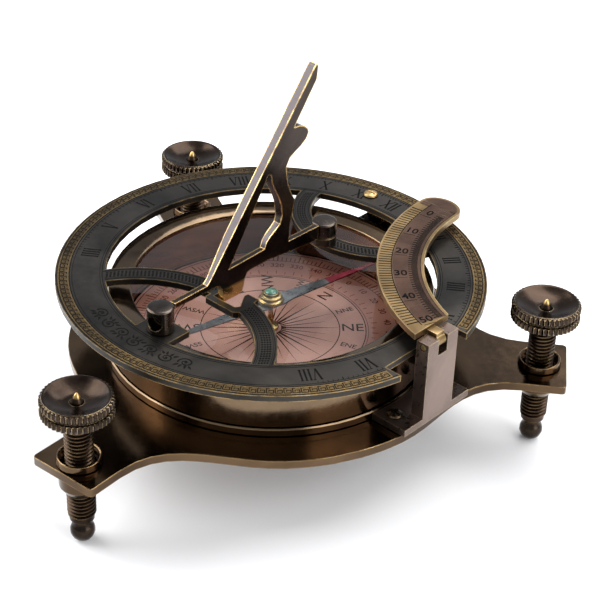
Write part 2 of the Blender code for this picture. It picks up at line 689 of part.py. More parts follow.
def make_ring_hinge(tilt):
    """Block with two knuckles on the plate, leaf with one knuckle under the ring, pin, screws."""
    y, z = RING_HINGE_Y, RING_HINGE_Z
    block_low, block_high = PLATE_TOP + GAP, 44.6
    inner = 3.9
    curl = knuckle_loop(block_high)[:-2]
    loop = [(51.6, block_low), (61.3, block_low), (61.3, block_high), (curl[0][0], block_high)]
    loop += curl + [(curl[-1][0], block_high), (51.6, block_high)]
    body = prism([loop], -HINGE_HALF, HINGE_HALF, axis="X")
    gap = box(-inner, inner, 50.0, 63.0, block_high - 0.3, z + 3)
    bore = rod((0, y, z), RING_PIN_R + GAP, 3 * HINGE_HALF, "X", 16)
    place(combine(body, [gap, bore], "DIFFERENCE"), "hinge_block", DARK_BRONZE)

    pin = rod((0, y, z), RING_PIN_R, 2 * HINGE_HALF + 0.6, "X", 16)
    place(pin, "hinge_pin", BRASS)

    leaf_top = RING_TOP - RING_THICK - GAP
    leaf_bottom = leaf_top - 1.2
    leaf = box(-HINGE_HALF, HINGE_HALF, 51.8, 61.6, leaf_bottom, leaf_top)
    knuckle = prism([knuckle_loop(leaf_bottom + 0.5)], GAP - inner, inner - GAP, axis="X")
    screw_holes = [rod((s * HINGE_SCREW_X, HINGE_SCREW_Y, leaf_top), 1.5, 8, "Z", 14) for s in (-1, 1)]
    bore = rod((0, y, z), RING_PIN_R + GAP, 3 * HINGE_HALF, "X", 16)
    leaf = combine(leaf, [knuckle], "UNION")
    put_on(combine(leaf, [bore] + screw_holes, "DIFFERENCE"), "hinge_leaf", BRONZE, tilt)

    for name, side in (("hinge_screw_west", -1), ("hinge_screw_east", 1)):
        screw = slotted_screw(side * HINGE_SCREW_X, HINGE_SCREW_Y, RING_TOP + GAP, leaf_top - 1.0)
        put_on(screw, name, BRASS, tilt)


def slotted_screw(x, y, seat, tip):
    """Round-headed screw with a straight slot."""
    profile = [(0, seat + 1.0), (1.2, seat + 0.95), (2.2, seat + 0.5), (2.4, seat), (1.2, seat),
               (1.2, tip), (0, tip)]
    slot = box(x - 3, x + 3, y - 0.3, y + 0.3, seat + 0.55, seat + 2)
    return combine(turned(profile, 16, (x, y)), [slot], "DIFFERENCE")


# --------------------------------------------------------------------------- latitude arc

def make_bracket():
    """Screwed foot, tall post with two ears, its two screws and the arc's hinge pin."""
    foot_low = PLATE_TOP + GAP
    foot_high = foot_low + BRACKET_FOOT_THICK
    y0, y1 = BRACKET_Y - BRACKET_FOOT_HALF_Y, BRACKET_Y + BRACKET_FOOT_HALF_Y
    inner_r = DRUM_BASE_R + GAP
    edge = []
    count = 9
    for i in range(count):
        y = y1 + (y0 - y1) * i / (count - 1)
        edge.append((sqrt(inner_r ** 2 - y ** 2), y))
    screw_x = 55.4
    screw_ys = (BRACKET_Y - 10.6, BRACKET_Y + 10.6)
    holes = [circle((screw_x, y), 1.5, 14) for y in screw_ys]
    foot = prism([[(BRACKET_OUTER_X, y0), (BRACKET_OUTER_X, y1)] + edge] + holes, foot_low, foot_high)
    post = box(EAR_INNER_X, BRACKET_OUTER_X, BRACKET_Y - EAR_HALF_Y, BRACKET_Y + EAR_HALF_Y,
               foot_high - 0.8, EAR_TOP)
    body = combine(foot, [post], "UNION")
    slot = box(EAR_INNER_X - 3, BRACKET_OUTER_X + 3, BRACKET_Y - SLOT_HALF_Y, BRACKET_Y + SLOT_HALF_Y,
               SLOT_BOTTOM, EAR_TOP + 3)
    bore = rod((ARC_HINGE_X, BRACKET_Y, ARC_HINGE_Z), 1.15, 30, "Y", 16)
    place(combine(body, [slot, bore], "DIFFERENCE"), "arc_bracket", BRONZE)
    for name, y in zip(("bracket_screw_front", "bracket_screw_rear"), screw_ys):
        place(slotted_screw(screw_x, y, foot_high + GAP, foot_low), name, BRASS)
    pin = rod((ARC_HINGE_X, BRACKET_Y, ARC_HINGE_Z), 0.85, 2 * EAR_HALF_Y - 0.4, "Y", 16)
    place(pin, "arc_hinge_pin", BRASS)


def arc_outline():
    """Curved band with a square end at the bracket and a rounded tip."""
    cx, cy = ARC_CENTRE
    across = cx - ARC_END_X
    outer_end = 180 + degrees(acos(across / ARC_OUTER_R))
    inner_end = 180 + degrees(acos(across / ARC_INNER_R))
    outer_tip = 180 + degrees(asin((cy - ARC_TIP_Y) / ARC_OUTER_R))
    inner_tip = 180 + degrees(asin((cy - ARC_TIP_Y) / ARC_INNER_R))
    outer = arc_points(ARC_CENTRE, ARC_OUTER_R, outer_end, outer_tip, 25)
    inner = arc_points(ARC_CENTRE, ARC_INNER_R, inner_tip, inner_end, 21)
    left, right = outer[-1][0], inner[0][0]
    tip = [((left + right) / 2 - (right - left) / 2 * cos(a), ARC_TIP_Y + ARC_TIP_RISE * sin(a))
           for a in (pi * i / 12 for i in range(1, 12))]
    return outer + tip + inner


def make_latitude_arc():
    """Flat scale band with a tang and an eye that runs in the bracket's slot."""
    fold = pivot("latitude_arc_axis", (ARC_HINGE_X, BRACKET_Y, ARC_HINGE_Z))
    band = prism([arc_outline()], ARC_BOTTOM, ARC_BOTTOM + ARC_THICK)
    eye_half = SLOT_HALF_Y - GAP
    eye = rod((ARC_HINGE_X, BRACKET_Y, ARC_HINGE_Z), 1.9, 2 * eye_half, "Y", 20)
    tang = box(ARC_HINGE_X - 3.6, ARC_HINGE_X + 0.9, BRACKET_Y - eye_half, BRACKET_Y + eye_half,
               ARC_HINGE_Z + 0.6, ARC_BOTTOM + 0.9)
    bore = rod((ARC_HINGE_X, BRACKET_Y, ARC_HINGE_Z), 1.15, 30, "Y", 16)
    whole = combine(combine(band, [eye, tang], "UNION"), [bore], "DIFFERENCE")
    put_on(whole, "latitude_arc", BRASS, fold)


# --------------------------------------------------------------------------- assembly

ring_axis = pivot("ring_tilt_axis", (0, RING_HINGE_Y, RING_HINGE_Z))
make_base_plate()
make_levelling_screws()
make_drum()
make_dial_and_needle()
make_hour_ring(ring_axis)
make_post("south_post", SOUTH_POST_Y, SOUTH_POST_Y, ring_axis)
make_post("north_post", NORTH_POST_Y, NORTH_POST_Y + 1.6, ring_axis)
make_gnomon(ring_axis)
make_ring_hinge(ring_axis)
make_bracket()
make_latitude_arc()

loose = [obj for obj in parts.objects if obj.parent is None]
origin = pivot("plate_underside", (0, 0, PLATE_THICK - PLATE_TOP))
for obj in loose:
    obj.parent = origin
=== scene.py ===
"""Looks of the sundial compass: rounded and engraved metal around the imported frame.

Sizes below are in millimetres unless a name says otherwise; MM turns them into metres.
"""

import json
from math import asin, atan2, cos, degrees, pi, radians, sin

import bmesh
import bpy
from mathutils import Matrix, Vector


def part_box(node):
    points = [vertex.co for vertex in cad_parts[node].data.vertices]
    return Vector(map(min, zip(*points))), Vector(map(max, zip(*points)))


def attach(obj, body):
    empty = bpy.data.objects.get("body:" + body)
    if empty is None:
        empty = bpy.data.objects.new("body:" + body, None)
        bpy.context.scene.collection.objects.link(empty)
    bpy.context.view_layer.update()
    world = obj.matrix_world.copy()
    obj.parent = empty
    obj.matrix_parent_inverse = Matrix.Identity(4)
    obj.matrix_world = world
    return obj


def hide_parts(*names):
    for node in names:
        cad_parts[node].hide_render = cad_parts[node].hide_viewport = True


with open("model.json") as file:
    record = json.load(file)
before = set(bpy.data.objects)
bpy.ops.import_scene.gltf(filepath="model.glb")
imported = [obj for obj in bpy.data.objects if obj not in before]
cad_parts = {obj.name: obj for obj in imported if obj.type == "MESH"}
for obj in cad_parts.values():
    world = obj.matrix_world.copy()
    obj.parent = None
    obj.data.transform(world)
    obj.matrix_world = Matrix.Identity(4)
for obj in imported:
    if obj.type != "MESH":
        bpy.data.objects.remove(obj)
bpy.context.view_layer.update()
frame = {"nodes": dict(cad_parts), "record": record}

MM = 0.001
BODY_OF = {node: body for body, nodes in frame["record"]["behaviour"]["bodies"].items() for node in nodes}
FEET = ("front", "right", "back")


def low(node):
    """Lowest corner of a CAD node, in millimetres."""
    return Vector(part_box(node)[0]) / MM


def high(node):
    """Highest corner of a CAD node, in millimetres."""
    return Vector(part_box(node)[1]) / MM


GROUND = low("front_ball_foot").z
RING_TOP = high("hour_ring").z
RING_R = high("hour_ring").y
RING_BORE = RING_R - 15.0
NOTCH_HALF = 14.7
NOTCH_X = 57.6
CARD_TOP = high("dial_card").z
ARC_TOP = high("latitude_arc").z
ARC_CENTRE = (76.2, 60.7)
ARC_INNER = 51.8
SOUTH_CRESCENT = (-57.0, 34.5, 41.0)
NORTH_CRESCENT = (49.6, 21.6, 27.9)
PAD_WEST = -3.4
PAD_EAST = 9.4
STYLE_LATITUDE = 54.0
NEEDLE_BEARING = 79.2           # degrees from +X towards +Y
NUMERAL_R = 55.6                # circle through the middles of the Roman hours
NUMERAL_HEIGHT = 5.2
EYE_R = 0.42                    # filled eye of a scroll
RING_LINES = ((50.9, 0.20), (51.6, 0.12), (59.9, 0.14), (60.7, 0.24), (64.35, 0.24))
BORDER_INNER = 60.9             # brown band under the fret
BORDER_OUTER = 64.2
FRET_LOW = (61.35, 61.60)       # the fret's three circular strokes
FRET_MIDDLE = (62.2, 62.45)
FRET_HIGH = (63.45, 63.75)
FRET_CELLS = 165
CARD_LINES = ((21.5, 0.30), (29.6, 0.30), (30.4, 0.14), (43.6, 0.25))
DEGREE_TICK_R = 39.6            # inner end of the card's degree ticks
DEGREE_FIGURE_R = 36.6
ARC_LIP = 0.9                   # bare rim inside the arc's copper face
ARC_BAND_R = 61.6               # copper face inside, ticked brass band outside
ARC_FACE_R = 65.2               # outer edge of the copper tip
KNOB_TEETH = 44
FLUTE_DEPTH = 0.55
MARK_LIFT = 0.05                # top of a mark above the face it lies on
FACE_LIFT = 0.02                # top of a coloured band under such marks
INLAY = 0.05                    # thickness of a printed or engraved mark


# --------------------------------------------------------------------------- shader nodes

class Nodes:
    """Small helper that builds one material's node tree."""

    def __init__(self, name):
        self.mat = bpy.data.materials.new(name)
        self.mat.use_nodes = True
        self.tree = self.mat.node_tree
        self.shader = self.tree.nodes["Principled BSDF"]
        self.place = self.new("ShaderNodeTexCoord").outputs["Object"]

    def new(self, kind, **settings):
        """Add a node and set its properties."""
        node = self.tree.nodes.new(kind)
        for key, value in settings.items():
            setattr(node, key, value)
        return node

    def feed(self, value, socket):
        """Link a socket, or set a plain value."""
        if isinstance(value, bpy.types.NodeSocket):
            self.tree.links.new(value, socket)
        else:
            socket.default_value = value

    def noise(self, scale, detail=3.0, roughness=0.55, stretch=None, distortion=0.0):
        """Noise value over the object, its scale in features per metre."""
        node = self.new("ShaderNodeTexNoise")
        coords = self.place
        if stretch:
            mapping = self.new("ShaderNodeMapping")
            mapping.inputs["Scale"].default_value = stretch
            self.feed(coords, mapping.inputs["Vector"])
            coords = mapping.outputs["Vector"]
        self.feed(coords, node.inputs["Vector"])
        node.inputs["Scale"].default_value = scale
        node.inputs["Detail"].default_value = detail
        node.inputs["Roughness"].default_value = roughness
        node.inputs["Distortion"].default_value = distortion
        return node.outputs["Fac"]

    def spread(self, value, low_in, high_in, low_out=0.0, high_out=1.0):
        """Map a value from one range to another, clamped."""
        node = self.new("ShaderNodeMapRange")
        self.feed(value, node.inputs["Value"])
        node.inputs["From Min"].default_value = low_in
        node.inputs["From Max"].default_value = high_in
        node.inputs["To Min"].default_value = low_out
        node.inputs["To Max"].default_value = high_out
        return node.outputs["Result"]

    def maths(self, operation, a, b=0.0):
        """One arithmetic node."""
        node = self.new("ShaderNodeMath", operation=operation)
        self.feed(a, node.inputs[0])
        self.feed(b, node.inputs[1])
        return node.outputs["Value"]

    def mix(self, factor, a, b):
        """Blend two colours."""
        node = self.new("ShaderNodeMix", data_type="RGBA")
        self.feed(factor, node.inputs["Factor"])
        self.feed(a if isinstance(a, bpy.types.NodeSocket) else (*a, 1.0), node.inputs[6])
        self.feed(b if isinstance(b, bpy.types.NodeSocket) else (*b, 1.0), node.inputs[7])
        return node.outputs[2]

    def edge(self, radius, low_in, high_in):
        """1 on rounded or sharp edges and 0 on flat faces, from the Bevel node's turned normal."""
        bevel = self.new("ShaderNodeBevel", samples=6)
        bevel.inputs["Radius"].default_value = radius * MM
        plain = self.new("ShaderNodeNewGeometry").outputs["Normal"]
        dot = self.new("ShaderNodeVectorMath", operation="DOT_PRODUCT")
        self.feed(bevel.outputs["Normal"], dot.inputs[0])
        self.feed(plain, dot.inputs[1])
        return self.spread(dot.outputs["Value"], low_in, high_in, 1.0, 0.0)

    def towards(self, direction):
        """1 on faces that look along a direction of the object and 0 on the others."""
        normal = self.new("ShaderNodeTexCoord").outputs["Normal"]
        dot = self.new("ShaderNodeVectorMath", operation="DOT_PRODUCT")
        self.feed(normal, dot.inputs[0])
        dot.inputs[1].default_value = direction
        return self.spread(dot.outputs["Value"], 0.90, 0.97)

    def crevice(self, distance):
        """Painted shade from ambient occlusion: 1 deep in corners and gaps between parts, 0 in the open."""
        node = self.new("ShaderNodeAmbientOcclusion", samples=6)
        node.inputs["Distance"].default_value = distance * MM
        return self.spread(node.outputs["AO"], 0.25, 0.85, 1.0, 0.0)

    def bump(self, height, strength, distance):
        """Turn a height into the shader's normal; distance in millimetres."""
        node = self.new("ShaderNodeBump")
        node.inputs["Strength"].default_value = strength
        node.inputs["Distance"].default_value = distance * MM
        self.feed(height, node.inputs["Height"])
        self.feed(node.outputs["Normal"], self.shader.inputs["Normal"])


def patina(name, dark, light, worn, wear=1.0, rough=(0.24, 0.42), blotch=28.0, edge_radius=0.55,
           corner_shade_and_soil=0.6, grain=0.05, mottle=0.35, specks=0.3, bare=None, facing=None):
    """Antiqued metal: two blotched tones, bright metal on worn edges, painted shade with soiling in the
    corners.

    bare is a pair of heights in metres between which the finish goes over to bare metal; facing is a
    direction and a painted light colour for the faces that look that way, standing in for the soft
    reflection they catch.
    """
    n = Nodes(name)
    cloud = n.noise(blotch, 4.0, 0.6, distortion=0.6)
    fine = n.noise(620.0, 3.0, 0.6)
    speck = n.noise(2300.0, 2.0, 0.5)
    tone = n.mix(n.spread(cloud, 0.34, 0.68), dark, light)
    tone = n.mix(n.spread(fine, 0.62, 0.80, 0.0, mottle), tone, light)
    tone = n.mix(n.spread(speck, 0.74, 0.84, 0.0, specks), tone, worn)
    # painted light: faces that look along the given direction take an even colour in place of the blotches,
    # standing in for the soft bluish reflection they catch
    if facing:
        direction, painted_light_tint = facing
        evenness = n.spread(fine, 0.3, 0.6, 0.75, 1.0)
        tone = n.mix(n.maths("MULTIPLY", n.towards(direction), evenness), tone, painted_light_tint)
    patches = n.spread(n.noise(210.0, 4.0, 0.65), 0.36, 0.62, 0.15, 1.0)
    edge = n.maths("MULTIPLY", n.edge(edge_radius, 0.86, 0.995), patches)
    edge = n.maths("MULTIPLY", edge, wear)
    tone = n.mix(edge, tone, worn)
    if bare:
        height = n.new("ShaderNodeSeparateXYZ")
        n.feed(n.place, height.inputs[0])
        tone = n.mix(n.spread(height.outputs["Z"], bare[0], bare[1], 0.0, 0.9), tone, worn)
    # painted shade: an occlusion mask darkens corners and gaps between parts towards a quarter of the dark
    # tone, standing also for soiling in the hollows
    corner_shade_and_soil_mask = n.maths("MULTIPLY", n.crevice(1.2), corner_shade_and_soil * 0.6)
    corner_shade_and_soil_tone = tuple(channel * 0.25 for channel in dark)
    tone = n.mix(corner_shade_and_soil_mask, tone, corner_shade_and_soil_tone)
    n.feed(tone, n.shader.inputs["Base Color"])
    n.shader.inputs["Metallic"].default_value = 1.0
    gloss = n.spread(n.maths("ADD", n.maths("MULTIPLY", cloud, 0.5), n.maths("MULTIPLY", fine, 0.5)),
                     0.35, 0.65, rough[0], rough[1])
    n.feed(gloss, n.shader.inputs["Roughness"])
    n.bump(n.maths("ADD", fine, n.maths("MULTIPLY", speck, 0.4)), 0.22, grain)
    return n.mat


def ink(name, colour, rough=0.75):
    """Dark fill of an engraved or printed mark, slightly uneven."""
    n = Nodes(name)
    cloud = n.noise(900.0, 3.0, 0.6)
    lighter = tuple(min(1.0, c * 1.9 + 0.003) for c in colour)
    n.shader.inputs["Specular IOR Level"].default_value = 0.04
    n.feed(n.mix(n.spread(cloud, 0.35, 0.7), colour, lighter), n.shader.inputs["Base Color"])
    n.feed(n.spread(cloud, 0.3, 0.7, rough - 0.1, rough + 0.1), n.shader.inputs["Roughness"])
    n.bump(cloud, 0.3, 0.03)
    return n.mat


def card_material():
    """Pink copper card: a redder outer band, a faint fine grain and stains."""
    n = Nodes("copper_card_print")
    length = n.new("ShaderNodeVectorMath", operation="LENGTH")
    flat = n.new("ShaderNodeVectorMath", operation="MULTIPLY")
    n.feed(n.place, flat.inputs[0])
    flat.inputs[1].default_value = (1.0, 1.0, 0.0)
    n.feed(flat.outputs["Vector"], length.inputs[0])
    radius = length.outputs["Value"]
    cloud = n.noise(60.0, 4.0, 0.6, distortion=0.8)
    fine = n.noise(1500.0, 2.0, 0.5)
    pink, rose, red = (0.43, 0.205, 0.165), (0.52, 0.275, 0.225), (0.36, 0.12, 0.085)
    tone = n.mix(n.spread(cloud, 0.35, 0.7), pink, rose)
    band = n.spread(radius, 0.0292, 0.0302)
    tone = n.mix(n.maths("MULTIPLY", band, 0.55), tone, red)
    stain = n.spread(n.noise(140.0, 5.0, 0.7, distortion=1.5), 0.58, 0.75, 0.0, 0.45)
    tone = n.mix(stain, tone, red)
    n.feed(tone, n.shader.inputs["Base Color"])
    n.shader.inputs["Metallic"].default_value = 0.55
    n.feed(n.spread(cloud, 0.3, 0.7, 0.38, 0.52), n.shader.inputs["Roughness"])
    n.bump(fine, 0.25, 0.03)
    return n.mat


def glass_material():
    """Clear flat glass that lets light straight through, with a faint grey film."""
    n = Nodes("clear_cover_glass")
    output = n.tree.nodes["Material Output"]
    clear = n.new("ShaderNodeBsdfTransparent")
    clear.inputs["Color"].default_value = (0.93, 0.95, 0.94, 1.0)
    shine = n.new("ShaderNodeBsdfGlossy")
    shine.inputs["Roughness"].default_value = 0.03
    fresnel = n.new("ShaderNodeFresnel")
    fresnel.inputs["IOR"].default_value = 1.5
    blend = n.new("ShaderNodeMixShader")
    smear = n.spread(n.noise(45.0, 3.0, 0.6), 0.4, 0.7, 0.0, 0.02)
    front = n.maths("SUBTRACT", 1.0, n.new("ShaderNodeNewGeometry").outputs["Backfacing"])
    n.feed(n.maths("MULTIPLY", n.maths("ADD", fresnel.outputs["Fac"], smear), front), blend.inputs["Fac"])
    n.tree.links.new(clear.outputs["BSDF"], blend.inputs[1])
    n.tree.links.new(shine.outputs["BSDF"], blend.inputs[2])
    n.tree.links.new(blend.outputs["Shader"], output.inputs["Surface"])
    n.tree.nodes.remove(n.shader)
    return n.mat


def jewel_material():
    """Green glassy stone."""
    n = Nodes("green_stone")
    cloud = n.noise(900.0, 3.0, 0.6)
    n.feed(n.mix(n.spread(cloud, 0.3, 0.7), (0.015, 0.10, 0.065), (0.07, 0.23, 0.16)),
           n.shader.inputs["Base Color"])
    n.shader.inputs["Roughness"].default_value = 0.12
    n.shader.inputs["Coat Weight"].default_value = 0.6
    return n.mat


def needle_material():
    """Blued steel with its north end lacquered red."""
    n = Nodes("blued_needle")
    bearing = radians(NEEDLE_BEARING)
    along = n.new("ShaderNodeVectorMath", operation="DOT_PRODUCT")
    n.feed(n.place, along.inputs[0])
    along.inputs[1].default_value = (cos(bearing), sin(bearing), 0.0)
    red_end = n.spread(along.outputs["Value"], 0.0212, 0.0216)
    cloud = n.noise(300.0, 4.0, 0.6)
    blue = n.mix(n.spread(cloud, 0.35, 0.7), (0.11, 0.11, 0.12), (0.21, 0.21, 0.225))
    n.feed(n.mix(red_end, blue, (0.26, 0.012, 0.030)), n.shader.inputs["Base Color"])
    n.shader.inputs["Metallic"].default_value = 0.7
    n.feed(n.spread(cloud, 0.3, 0.7, 0.22, 0.4), n.shader.inputs["Roughness"])
    n.bump(n.noise(1800.0, 2.0), 0.2, 0.02)
    return n.mat


BRASS = (0.60, 0.40, 0.15)
PALE_BRASS = (0.78, 0.60, 0.32)
GOLD = (0.86, 0.58, 0.22)
STYLE_NORMAL = (0.0, -0.791, 0.612)      # outward from the gnomon's slanted style edge
LOOKS = {
    "plate": patina("bronze_plate_patina", (0.034, 0.022, 0.015), (0.155, 0.098, 0.054), BRASS,
                    wear=0.8, rough=(0.09, 0.21), blotch=14.0, mottle=0.15, specks=0.12),
    "drum": patina("bronze_drum_patina", (0.040, 0.028, 0.019), (0.21, 0.145, 0.090), BRASS,
                   wear=0.6, rough=(0.08, 0.19), blotch=17.0, mottle=0.12, specks=0.12),
    "ring": patina("slate_ring_patina", (0.018, 0.0175, 0.016), (0.054, 0.048, 0.042), BRASS,
                   wear=0.8, rough=(0.30, 0.46), blotch=30.0),
    "dark": patina("dark_bronze_patina", (0.018, 0.013, 0.010), (0.060, 0.043, 0.031), BRASS,
                   wear=0.5, rough=(0.18, 0.34), blotch=40.0),
    "post": patina("post_bronze_patina", (0.040, 0.033, 0.029), (0.12, 0.098, 0.083), BRASS,
                   wear=0.6, rough=(0.16, 0.30), blotch=60.0, mottle=0.2, specks=0.15),
    "stud": patina("stud_bronze_patina", (0.014, 0.009, 0.006), (0.075, 0.048, 0.034), BRASS,
                   wear=0.25, rough=(0.22, 0.38), blotch=60.0, edge_radius=0.3, specks=0.1,
                   bare=(0.0246, 0.0254)),
    # painted light: the gnomon's style face gets an even lilac-grey colour for the soft reflection of the
    # lights
    "gnomon": patina("gnomon_bronze_patina", (0.028, 0.021, 0.018), (0.080, 0.060, 0.052), GOLD,
                     wear=1.7, rough=(0.15, 0.28), blotch=22.0, edge_radius=0.75, corner_shade_and_soil=0.2,
                     mottle=0.15, specks=0.1, bare=(0.0312, 0.0300),
                     facing=(STYLE_NORMAL, (0.068, 0.060, 0.063))),
    "bracket": patina("bracket_bronze_patina", (0.105, 0.074, 0.058), (0.24, 0.178, 0.150), PALE_BRASS,
                      wear=0.5, rough=(0.22, 0.36), blotch=30.0, mottle=0.15, specks=0.1),
    "knob": patina("knob_bronze_patina", (0.018, 0.012, 0.009), (0.056, 0.038, 0.028), PALE_BRASS,
                   wear=0.75, rough=(0.16, 0.30), blotch=60.0, edge_radius=0.30, specks=0.15),
    "brass": patina("worn_brass", (0.24, 0.15, 0.06), (0.60, 0.41, 0.17), PALE_BRASS,
                    wear=0.6, rough=(0.20, 0.38), blotch=55.0, corner_shade_and_soil=0.75),
    "arc_brass": patina("arc_brass", (0.17, 0.110, 0.048), (0.36, 0.245, 0.112), PALE_BRASS,
                        wear=0.6, rough=(0.30, 0.46), blotch=45.0),
    "arc_face": patina("arc_copper_face", (0.060, 0.032, 0.022), (0.120, 0.068, 0.048), PALE_BRASS,
                       wear=0.3, rough=(0.32, 0.46), blotch=50.0, mottle=0.2, specks=0.12),
    "border": patina("ring_border_patina", (0.042, 0.029, 0.014), (0.140, 0.092, 0.040), BRASS,
                     wear=0.7, rough=(0.32, 0.48), blotch=24.0),
    "ink": ink("black_engraving", (0.0035, 0.0033, 0.0030)),
    "card_ink": ink("brown_card_ink", (0.016, 0.006, 0.004), 0.6),
    "red_ink": ink("red_card_ink", (0.075, 0.010, 0.007), 0.6),
    "card": card_material(),
    "glass": glass_material(),
    "jewel": jewel_material(),
    "needle": needle_material(),
}


# --------------------------------------------------------------------------- pieces

def finish_piece(obj, node, look):
    """Link a piece, give it its material, and let it ride on a CAD node's body."""
    bpy.context.scene.collection.objects.link(obj)
    obj.data.materials.clear()
    obj.data.materials.append(LOOKS[look])
    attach(obj, BODY_OF[node])
    return obj


def rounded(node, width, look, segments=2, sharp=32.0, flat=0.6):
    """The CAD solid with its flats cleaned and its sharp edges really rounded, standing for the node."""
    mesh = frame["nodes"][node].data.copy()
    mesh.name = node + "_fine"
    work = bmesh.new()
    work.from_mesh(mesh)
    bmesh.ops.remove_doubles(work, verts=work.verts, dist=1e-6)
    bmesh.ops.dissolve_limit(work, angle_limit=radians(flat), verts=work.verts, edges=work.edges)
    for face in work.faces:
        face.smooth = True
    work.to_mesh(mesh)
    work.free()
    mesh.set_sharp_from_angle(angle=radians(sharp))
    obj = bpy.data.objects.new(node + "_fine", mesh)
    finish_piece(obj, node, look)
    bevel = obj.modifiers.new("Round", "BEVEL")
    bevel.width = width * MM
    bevel.segments = segments
    bevel.limit_method = "ANGLE"
    bevel.angle_limit = radians(sharp)
    bevel.harden_normals = True
    bevel.use_clamp_overlap = True
    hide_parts(node)
    return obj


def recolour(node, look):
    """A better material on a CAD solid whose shape is kept."""
    obj = frame["nodes"][node]
    obj.data.materials.clear()
    obj.data.materials.append(LOOKS[look])


def lathe(profile, steps, centre, name, node, look, wave=None):
    """Profile of (radius, height) turned about Z at a plan point; wave(radius, height, angle) shifts it."""
    work = bmesh.new()
    rows = []
    for i in range(steps):
        angle = 2 * pi * i / steps
        row = []
        for radius, height in profile:
            r = wave(radius, height, angle) if wave else radius
            row.append(work.verts.new(((centre[0] + r * cos(angle)) * MM,
                                       (centre[1] + r * sin(angle)) * MM, height * MM)))
        rows.append(row)
    for i in range(steps):
        a, b = rows[i], rows[(i + 1) % steps]
        for k in range(len(profile) - 1):
            work.faces.new((a[k + 1], b[k + 1], b[k], a[k]))
        if min(r for r, _ in profile) > 0.01:
            work.faces.new((a[0], b[0], b[-1], a[-1]))
    bmesh.ops.remove_doubles(work, verts=work.verts, dist=1e-7)
    bmesh.ops.recalc_face_normals(work, faces=work.faces)
    mesh = bpy.data.meshes.new(name)
    work.to_mesh(mesh)
    work.free()
    mesh.shade_smooth()
    mesh.set_sharp_from_angle(angle=radians(35))
    obj = bpy.data.objects.new(name, mesh)
    finish_piece(obj, node, look)
    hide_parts(node)
    return obj


# --------------------------------------------------------------------------- marks

class Marks:
    """Flat marks on one surface, gathered as polygons and made into one thin solid piece."""

    def __init__(self, top, shift=(0.0, 0.0)):
        self.work = bmesh.new()
        self.top = top
        self.shift = shift

    def polygon(self, points):
        """One filled outline, in millimetres."""
        x0, y0 = self.shift
        verts = [self.work.verts.new(((x + x0) * MM, (y + y0) * MM, self.top * MM)) for x, y in points]
        self.work.faces.new(verts)

    def band(self, inner, outer, start=0.0, end=360.0, step=2.0, keep=None):
        """Part of a flat ring between two angles; keep(angle) drops the stretches it refuses."""
        count = max(1, round(abs(end - start) / step))
        for i in range(count):
            a = radians(start + (end - start) * i / count)
            b = radians(start + (end - start) * (i + 1) / count)
            if keep and not keep(degrees((a + b) / 2)):
                continue
            self.polygon([(inner * cos(a), inner * sin(a)), (outer * cos(a), outer * sin(a)),
                          (outer * cos(b), outer * sin(b)), (inner * cos(b), inner * sin(b))])

    def stroke(self, p, q, wide, narrow=None):
        """Straight bar from p to q with its widths at both ends."""
        narrow = wide if narrow is None else narrow
        along = (Vector(q) - Vector(p)).normalized()
        side = Vector((-along.y, along.x))
        p, q = Vector(p), Vector(q)
        self.polygon([p - side * wide / 2, q - side * narrow / 2,
                      q + side * narrow / 2, p + side * wide / 2])

    def radial(self, angle, inner, outer, width):
        """Straight tick along a radius."""
        a = radians(angle)
        self.stroke((inner * cos(a), inner * sin(a)), (outer * cos(a), outer * sin(a)), width)

    def text(self, words, size, radius, angle, turn, weight=0.0):
        """Letters centred at a radius and angle, with their baseline turned by turn degrees."""
        curve = bpy.data.curves.new("letters", "FONT")
        curve.body = words
        curve.size = size
        curve.align_x = "CENTER"
        curve.align_y = "CENTER"
        curve.offset = weight
        curve.resolution_u = 3
        obj = bpy.data.objects.new("letters", curve)
        bpy.context.scene.collection.objects.link(obj)
        bpy.context.view_layer.update()
        graph = bpy.context.evaluated_depsgraph_get()
        mesh = bpy.data.meshes.new_from_object(obj.evaluated_get(graph))
        a = radians(angle)
        spot = Vector((radius * cos(a) + self.shift[0], radius * sin(a) + self.shift[1], self.top))
        mesh.transform(Matrix.Scale(MM, 4) @ Matrix.Translation(spot)
                       @ Matrix.Rotation(radians(turn), 4, "Z"))
        self.work.from_mesh(mesh)
        bpy.data.objects.remove(obj, do_unlink=True)
        bpy.data.curves.remove(curve)
        bpy.data.meshes.remove(mesh)

    def make(self, name, node, look, thickness=INLAY):
        """The gathered marks as one piece riding with a node's body."""
        bmesh.ops.recalc_face_normals(self.work, faces=self.work.faces)
        for face in self.work.faces:
            if face.normal.z < 0:
                face.normal_flip()
        mesh = bpy.data.meshes.new(name)
        self.work.to_mesh(mesh)
        self.work.free()
        obj = bpy.data.objects.new(name, mesh)
        finish_piece(obj, node, look)
        solid = obj.modifiers.new("Thickness", "SOLIDIFY")
        solid.thickness = thickness * MM
        solid.offset = -1.0
        return obj


